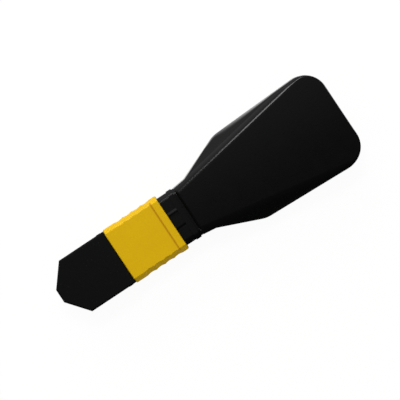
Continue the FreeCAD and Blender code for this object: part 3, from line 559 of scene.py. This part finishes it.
class LOOPBACK_OT_sleeve(bpy.types.Operator):
    """Finish the coloured sleeve that is pulled back to unlatch the plug"""

    bl_idname = "loopback.sleeve"
    bl_label = "Sliding sleeve"

    def execute(self, context):
        look = context.scene.plug_finishes
        finish = Finish(bpy.data.materials.new("sleeve_plastic"))
        along, _across, up = finish.axes()
        middle = (CAD_BOX[0].z + CAD_BOX[1].z) / 2
        faces = abs(up - middle).smooth(*WIDE_FACES)
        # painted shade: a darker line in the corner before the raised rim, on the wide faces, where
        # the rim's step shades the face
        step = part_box("outer_housing")[0].x + look.rim_length
        painted_shade_line = 1.0 - abs(along - (step + SHADE_LINE_OFFSET)).smooth(*SHADE_LINE_FADE)
        cloud = finish.noise(3 * MM, detail=3.0)
        flow = finish.noise(1.4 * MM, detail=2.0, stretch=(0.25, 1.0, 1.0))
        base = finish.mix(0.7 * cloud + 0.3 * flow, look.sleeve_colour, look.sleeve_tint)
        base = finish.mix(SHADE_LINE_SHARE * painted_shade_line * faces, base, look.grime_colour)
        pores = finish.noise(0.12 * MM, detail=1.5)
        patches = finish.noise(2.2 * MM, detail=4.0, roughness=0.6)
        dress("outer_housing", finish.surface(
            Base_Color=base, Roughness=polished(look.sleeve_roughness, patches),
            Normal=finish.bump(0.3 * flow + 0.7 * pores, depth=0.006 * MM),
            Specular_IOR_Level=0.06))
        return {"FINISHED"}


class LOOPBACK_OT_connector(bpy.types.Operator):
    """Finish the inner housing and the neck behind it"""

    bl_idname = "loopback.connector"
    bl_label = "Inner housing and neck"

    def execute(self, context):
        plastic = moulded("connector_plastic", (0.0022, 0.0022, 0.0022), (0.0017, 0.0017, 0.0017),
                          rough=0.26, grain=0.14 * MM, grain_depth=0.004 * MM, specular=0.09)
        dress("inner_housing", plastic)
        dress("rear_body", plastic)
        return {"FINISHED"}


class LOOPBACK_OT_ferrule(bpy.types.Operator):
    """Finish the ferrule, its resin, its boot and the pin keeper"""

    bl_idname = "loopback.ferrule"
    bl_label = "Ferrule"

    def execute(self, context):
        dress("mt_ferrule", moulded(
            "ferrule_resin", (0.03, 0.028, 0.026), (0.05, 0.047, 0.043),
            rough=0.45, grain=0.06 * MM, grain_depth=0.003 * MM))
        dress("epoxy_fill", moulded(
            "cured_resin", (0.32, 0.17, 0.04), (0.24, 0.12, 0.03),
            rough=0.12, grain=0.5 * MM, grain_depth=0.004 * MM))
        dress("ferrule_boot", moulded(
            "boot_rubber", (0.02, 0.02, 0.02), (0.03, 0.03, 0.03),
            rough=0.75, grain=0.1 * MM, grain_depth=0.006 * MM))
        dress("pin_keeper", moulded(
            "keeper_plastic", (0.5, 0.48, 0.43), (0.44, 0.42, 0.37),
            rough=0.5, grain=0.15 * MM, grain_depth=0.005 * MM))
        return {"FINISHED"}


class LOOPBACK_OT_springs(bpy.types.Operator):
    """Finish the three springs"""

    bl_idname = "loopback.springs"
    bl_label = "Springs"

    def execute(self, context):
        finish = Finish(bpy.data.materials.new("spring_steel"))
        drawn = finish.noise(0.05 * MM, detail=2.0, stretch=(1.0, 0.15, 1.0))
        stain = finish.noise(1.2 * MM, detail=3.0)
        base = finish.mix(stain, (0.55, 0.54, 0.52), (0.42, 0.4, 0.37))
        steel = finish.surface(Base_Color=base, Metallic=1.0, Roughness=0.22 + 0.15 * drawn,
                               Normal=finish.bump(drawn, depth=0.002 * MM))
        self.coil(context.scene, "ferrule_coil", "ferrule_spring", "ferrule", steel)
        for side in ("left", "right"):
            self.coil(context.scene, f"coupling_coil_{side}", f"coupling_spring_{side}", "grip",
                      steel)
        return {"FINISHED"}

    def coil(self, scene, name, node, pusher, steel):
        """A steel copy of the spring in its CAD node's place, with the node hidden."""
        mesh = NODES[node].data.copy()
        mesh.materials.clear()
        mesh.materials.append(steel)
        coil = bpy.data.objects.new(name, mesh)
        scene.collection.objects.link(coil)
        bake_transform(coil)
        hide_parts(node)


class LOOPBACK_OT_fibres(bpy.types.Operator):
    """Finish the looped fibres and the ribbon that holds them"""

    bl_idname = "loopback.fibres"
    bl_label = "Fibres and ribbon"

    def execute(self, context):
        # blue, orange, green, brown, slate and white
        coats = [(0.02, 0.12, 0.5), (0.75, 0.2, 0.01), (0.02, 0.35, 0.06), (0.16, 0.06, 0.02),
                 (0.3, 0.32, 0.34), (0.75, 0.76, 0.74)]
        for number, colour in enumerate(coats, 1):
            dress(f"fibre_loop_{number}", moulded(
                f"fibre_coat_{number}", colour, darker(colour, 0.8),
                rough=0.25, grain=0.3 * MM, grain_depth=0.001 * MM))
        dress("fibre_ribbon", moulded(
            "ribbon_matrix", (0.6, 0.64, 0.62), (0.5, 0.55, 0.54),
            rough=0.2, grain=0.4 * MM, grain_depth=0.002 * MM))
        return {"FINISHED"}


class LOOPBACK_OT_shell(bpy.types.Operator):
    """Finish the two halves of the flared shell"""

    bl_idname = "loopback.shell"
    bl_label = "Shell"

    def execute(self, context):
        look = context.scene.plug_finishes
        plastic = moulded("shell_plastic", look.shell_colour, darker(look.shell_colour, 0.8),
                          rough=look.shell_roughness, grain=0.5 * MM, grain_depth=0.002 * MM,
                          specular=0.1)
        low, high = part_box("shell_bottom")[0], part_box("shell_top")[1]
        form = ShellForm(context.scene.plug_shell, high.x - low.x, high.z - low.z)
        seam = (low.z + high.z) / 2
        halves = (("upper_shell", "shell_top", 1), ("lower_shell", "shell_bottom", -1))
        for name, node, up in halves:
            half = shell_half(name, form, high.x, seam, up)
            context.scene.collection.objects.link(half)
            half.data.materials.append(plastic)
            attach(half, "connector")
            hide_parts(node)
        return {"FINISHED"}


class LOOPBACK_OT_stage(bpy.types.Operator):
    """Set the floor, the light and the camera"""

    bl_idname = "loopback.stage"
    bl_label = "Stage"

    def execute(self, context):
        scene = context.scene
        stage = scene.plug_stage
        low, high = CAD_BOX
        self.floor(scene, low.z)
        self.flag(scene, stage, low)
        self.sky(scene, stage)
        key = self.lamp(scene, "key_lamp", stage.key_strength, KEY_SIZE, stage.key_height)
        key.visible_glossy = False  # gloss shows the pale wall in its place
        strip = self.lamp(scene, "strip_lamp", stage.strip_strength, STRIP_SIZE,
                          stage.strip_height)
        strip.location.x = STRIP_ALONG
        self.card(scene, stage)
        self.camera(scene, stage, (low.z + high.z) / 2)
        scene.view_settings.view_transform = "Standard"
        return {"FINISHED"}

    def floor(self, scene, height):
        """Pale paper: nearly plain white for the camera, and dimmer where gloss shows it."""
        mesh = bpy.data.meshes.new("floor")
        corners = [(-1, -1), (1, -1), (1, 1), (-1, 1)]
        mesh.from_pydata([(FLOOR_HALF * x, FLOOR_HALF * y, height) for x, y in corners],
                         [], [(0, 1, 2, 3)])
        floor = bpy.data.objects.new("floor", mesh)
        scene.collection.objects.link(floor)
        finish = Finish(bpy.data.materials.new("floor_paper"))
        rays = finish.node("ShaderNodeLightPath", {})
        seen = Value(finish, rays.outputs["Is Camera Ray"])
        mirrored = Value(finish, rays.outputs["Is Glossy Ray"]) + Value(
            finish, rays.outputs["Is Transmission Ray"])
        paper = finish.node("ShaderNodeBsdfDiffuse", {}, Color=(0.82, 0.82, 0.81, 1.0))
        white = finish.node("ShaderNodeEmission", {}, Color=(1.0, 1.0, 1.0, 1.0), Strength=1.0)
        both = finish.node("ShaderNodeMixShader", {}, **{
            "0": FLOOR_WHITE * seen + FLOOR_GLOSS * mirrored, "1": paper.outputs[0],
            "2": white.outputs[0]})
        output = finish.node("ShaderNodeOutputMaterial", {})
        finish.tree.links.new(both.outputs[0], output.inputs["Surface"])
        mesh.materials.append(finish.owner)

    def flag(self, scene, stage, low):
        """A dark board folded up beside the left-hand side, which only gloss shows: painted shade
        in the reflections, standing in for the floor in the plug's shade there.
        """
        section = [(stage.flag_start, FLAG_LIFT), (stage.flag_place, FLAG_LIFT),
                   (stage.flag_place, FLAG_HEIGHT)]
        mesh = bpy.data.meshes.new("flag")
        mesh.from_pydata([(x, y, low.z + z) for y, z in section for x in (-FLAG_HALF, FLAG_HALF)],
                         [], [(0, 1, 3, 2), (2, 3, 5, 4)])
        flag = bpy.data.objects.new("flag", mesh)
        scene.collection.objects.link(flag)
        # painted shade: a near-black board that darkens the reflections of the floor on the plug's
        # shaded side
        finish = Finish(bpy.data.materials.new("painted_shade_board"))
        mesh.materials.append(finish.surface(Base_Color=(0.01, 0.01, 0.01, 1.0), Roughness=0.9))
        flag.visible_camera = False
        flag.visible_diffuse = False
        flag.visible_shadow = False

    def sky(self, scene, stage):
        """White for the camera, even light, and a pale wall that only gloss shows."""
        world = bpy.data.worlds.new("studio")
        scene.world = world
        sky = Finish(world)
        rays = sky.node("ShaderNodeLightPath", {})
        seen = Value(sky, rays.outputs["Is Camera Ray"]) + Value(
            sky, rays.outputs["Is Transmission Ray"])
        mirrored = Value(sky, rays.outputs["Is Glossy Ray"])
        parts = sky.node("ShaderNodeSeparateXYZ", {}, Vector=sky.place("Generated"))
        wall = (0.0 - Value(sky, parts.outputs["Y"])).smooth(*WALL_FADE)
        glow = mirrored * (ROOM_GLOW + stage.side_glow * wall)
        level = seen + (1.0 - seen) * (stage.sky_strength * (1.0 - mirrored) + glow)
        light = sky.node("ShaderNodeBackground", {}, Color=(1.0, 1.0, 1.0, 1.0), Strength=level)
        output = sky.node("ShaderNodeOutputWorld", {})
        sky.tree.links.new(light.outputs[0], output.inputs["Surface"])

    def lamp(self, scene, name, power, size, height):
        """A soft lamp off the plug's right-hand side, height above the floor, aimed at the plug."""
        data = bpy.data.lights.new(name, "AREA")
        data.shape = "RECTANGLE"
        data.size, data.size_y = size
        data.energy = power
        lamp = bpy.data.objects.new(name, data)
        scene.collection.objects.link(lamp)
        facing = Vector((0.0, -math.cos(height), math.sin(height)))
        lamp.location = facing * LAMP_DISTANCE
        lamp.rotation_euler = facing.to_track_quat("Z", "Y").to_euler()
        lamp.visible_camera = False
        return lamp

    def card(self, scene, stage):
        """A dim square overhead whose edge lies beside the plug's axis."""
        card = self.lamp(scene, "overhead_card", stage.card_strength, (CARD_SIDE, CARD_SIDE),
                         math.pi / 2)
        card.location.y = stage.card_edge - CARD_SIDE / 2

    def camera(self, scene, stage, middle):
        """A camera that looks straight down on the plug."""
        data = bpy.data.cameras.new("camera")
        data.lens = stage.lens
        camera = bpy.data.objects.new("camera", data)
        scene.collection.objects.link(camera)
        distance = stage.view_width * stage.lens / data.sensor_width
        camera.location = (stage.aim[0], stage.aim[1], middle + distance)
        camera.rotation_euler = (0.0, 0.0, stage.roll)
        data.clip_start, data.clip_end = distance / 10, FAR_CLIP
        data.dof.use_dof = False
        scene.camera = camera


class LOOPBACK_PT_panel(bpy.types.Panel):
    """The plug's finishes and stage, with a button for each"""

    bl_idname = "LOOPBACK_PT_panel"
    bl_label = "Loopback plug"
    bl_space_type = "VIEW_3D"
    bl_region_type = "UI"
    bl_category = "Loopback plug"

    def draw(self, context):
        scene = context.scene
        for group in (scene.plug_shell, scene.plug_finishes, scene.plug_stage):
            for name in group.__annotations__:
                self.layout.prop(group, name)
        for operator in OPERATORS:
            self.layout.operator(operator.bl_idname)


GROUPS = (PlugShell, PlugFinishes, PlugStage)
OPERATORS = (
    LOOPBACK_OT_dust_cap,
    LOOPBACK_OT_sleeve,
    LOOPBACK_OT_connector,
    LOOPBACK_OT_ferrule,
    LOOPBACK_OT_springs,
    LOOPBACK_OT_fibres,
    LOOPBACK_OT_shell,
    LOOPBACK_OT_stage,
)


def register():
    for kind in (*GROUPS, *OPERATORS, LOOPBACK_PT_panel):
        bpy.utils.register_class(kind)
    bpy.types.Scene.plug_shell = bpy.props.PointerProperty(type=PlugShell)
    bpy.types.Scene.plug_finishes = bpy.props.PointerProperty(type=PlugFinishes)
    bpy.types.Scene.plug_stage = bpy.props.PointerProperty(type=PlugStage)


def unregister():
    del bpy.types.Scene.plug_stage
    del bpy.types.Scene.plug_finishes
    del bpy.types.Scene.plug_shell
    for kind in reversed((*GROUPS, *OPERATORS, LOOPBACK_PT_panel)):
        bpy.utils.unregister_class(kind)


def main():
    register()
    for operator in OPERATORS:
        group, name = operator.bl_idname.split(".")
        if getattr(getattr(bpy.ops, group), name)() != {"FINISHED"}:
            raise RuntimeError(f"{operator.bl_label} did not finish")


if __name__ == "__main__":
    main()
